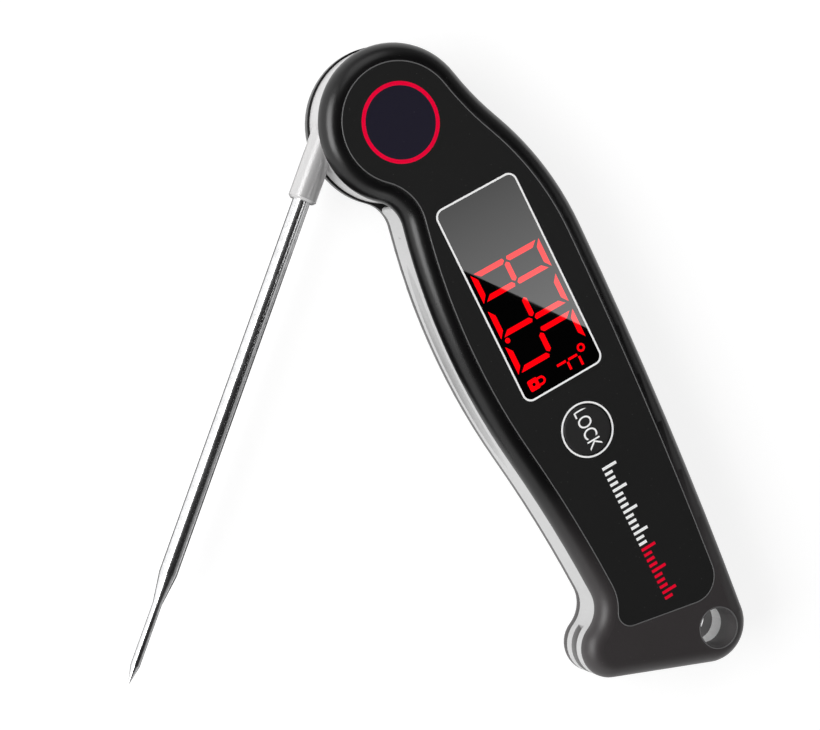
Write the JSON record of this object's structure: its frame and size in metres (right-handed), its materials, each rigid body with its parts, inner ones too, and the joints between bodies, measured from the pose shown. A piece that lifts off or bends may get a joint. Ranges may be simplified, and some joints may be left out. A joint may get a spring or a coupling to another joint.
{
  "type": "meat thermometer",
  "caption": "Folding instant-read food thermometer: slim dark case with a lit display, hold button and hanging hole, and a needle probe that swings out on a hub.",
  "frame": {"origin": "where the probe's pivot axis meets the flat back of the case", "axes": "+X from the pivot towards the foot with the hanging hole, +Z out of the display face; the probe folds along the -Y side"},
  "size_m": [0.1645, 0.1386, 0.0179],
  "materials": {
    "dark_case": "satin",
    "face_plate": "satin film",
    "window": "glossy",
    "pivot_cap": "satin",
    "red_trim": "glossy",
    "light_frame": "satin",
    "seal": "soft",
    "screw_steel": "zinc plated",
    "brass": "turned",
    "bush": "moulded",
    "board": "solder mask",
    "display": "glossy",
    "switch": "moulded",
    "chip": "moulded",
    "cell": "plain wrap",
    "contact": "nickel plated",
    "magnet": "nickel plated",
    "probe_steel": "polished stainless steel",
    "sensor": "bead",
    "leads": "enamelled pair",
    "button": "satin"
  },
  "bodies": {
    "case": {"front_cover": "dark_case", "face_plate": "face_plate", "display_window": "window", "pivot_cap": "pivot_cap", "accent_ring": "red_trim", "frame": "light_frame", "front_seal": "seal", "back_seal": "seal", "back_cover": "dark_case", "battery_door": "dark_case", "case_screws": "screw_steel", "door_screw": "screw_steel", "pivot_screw": "screw_steel", "board_screws": "screw_steel", "pivot_axle": "brass", "friction_washer": "screw_steel", "circuit_board": "board", "display_module": "display", "press_switch": "switch", "processor": "chip", "motion_sensor": "chip", "fold_sensor": "chip", "battery_cell": "cell", "positive_contact": "contact", "negative_contact": "contact", "holding_magnets": "magnet"},
    "probe": {"hub": "light_frame", "hub_bush": "bush", "back_ring_seal": "seal", "front_ring_seal": "seal", "hub_magnet": "magnet", "probe_tube": "probe_steel", "temperature_sensor": "sensor", "sensor_leads": "leads"},
    "button": {"hold_button": "button"}
  },
  "joints": [
    {"name": "probe_fold", "type": "hinge", "parent": "case", "child": "probe", "pos_m": [0, 0, 0.0097], "axis": [0, 0, -1], "range_deg": [-48.2, 131.8]},
    {"name": "hold_press", "type": "slide", "parent": "case", "child": "button", "axis": [0, 0, -1], "range_m": [0, 0.0004], "stiffness_N_per_m": 1500, "springref_m": -0.0002}
  ]
}
